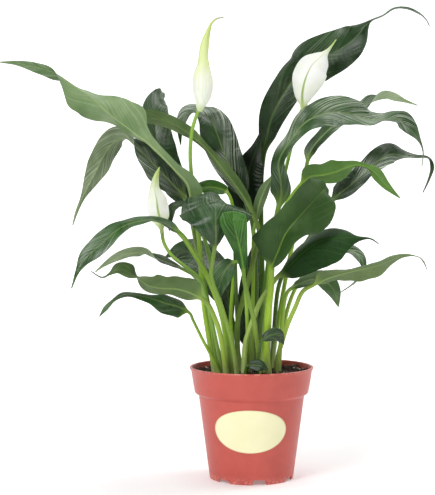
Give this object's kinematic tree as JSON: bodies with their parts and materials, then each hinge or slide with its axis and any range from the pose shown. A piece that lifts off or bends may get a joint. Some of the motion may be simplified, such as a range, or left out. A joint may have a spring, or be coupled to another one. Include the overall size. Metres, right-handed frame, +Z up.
{
  "type": "potted peace lily",
  "caption": "Potted peace lily: glossy lance-shaped leaves and white spathes on tall stalks in a round terracotta-coloured grower pot.",
  "frame": {"origin": "centre of the flat underside of the pot, on the pot's axis", "axes": "+Z up along the pot's axis; -Y is the plant's front, +X its right as seen from the front"},
  "size_m": [0.4315, 0.1827, 0.4768],
  "materials": {
    "pot_plastic": "satin moulded polypropylene, terracotta red",
    "label_paper": "satin cream label stock, bare",
    "potting_mix": "moist dark peat and bark with white perlite, rough",
    "leaf": "waxy living leaf, dark green above with pale arching side veins, paler and duller below",
    "flower_stalk": "smooth lime-green living stem",
    "spathe": "soft white petal-like leaf, lime-green along its midrib",
    "spadix": "knobbly cream finger of tiny flowers"
  },
  "bodies": {
    "root": {"grower_pot": "pot_plastic", "blank_label": "label_paper", "potting_mix": "potting_mix", "leaf_left_high": "leaf", "leaf_left_droop": "leaf", "leaf_left_back": "leaf", "leaf_left_ribbon": "leaf", "leaf_striped_upper": "leaf", "leaf_left_mid": "leaf", "leaf_umbrella": "leaf", "leaf_left_fold": "leaf", "leaf_left_shade": "leaf", "leaf_left_small": "leaf", "leaf_left_low": "leaf", "leaf_left_lowest": "leaf", "leaf_hanging_small": "leaf", "leaf_striped_stub": "leaf", "leaf_centre_green": "leaf", "leaf_centre_dark": "leaf", "leaf_top_right": "leaf", "leaf_arching_right": "leaf", "leaf_right_behind": "leaf", "leaf_right_bright": "leaf", "leaf_far_right": "leaf", "leaf_right_centre": "leaf", "leaf_right_dark": "leaf", "leaf_right_low": "leaf", "leaf_right_hanging": "leaf", "leaf_right_shade": "leaf", "leaf_centre_shade": "leaf", "leaf_low_shade": "leaf", "leaf_low_right": "leaf", "leaf_low_front": "leaf", "leaf_young_centre": "leaf", "flower_tall_stalk": "flower_stalk", "flower_open_stalk": "flower_stalk", "flower_left_stalk": "flower_stalk", "flower_tall_spathe": "spathe", "flower_open_spathe": "spathe", "flower_left_spathe": "spathe", "flower_open_spadix": "spadix", "flower_left_spadix": "spadix"}
  },
  "joints": []
}
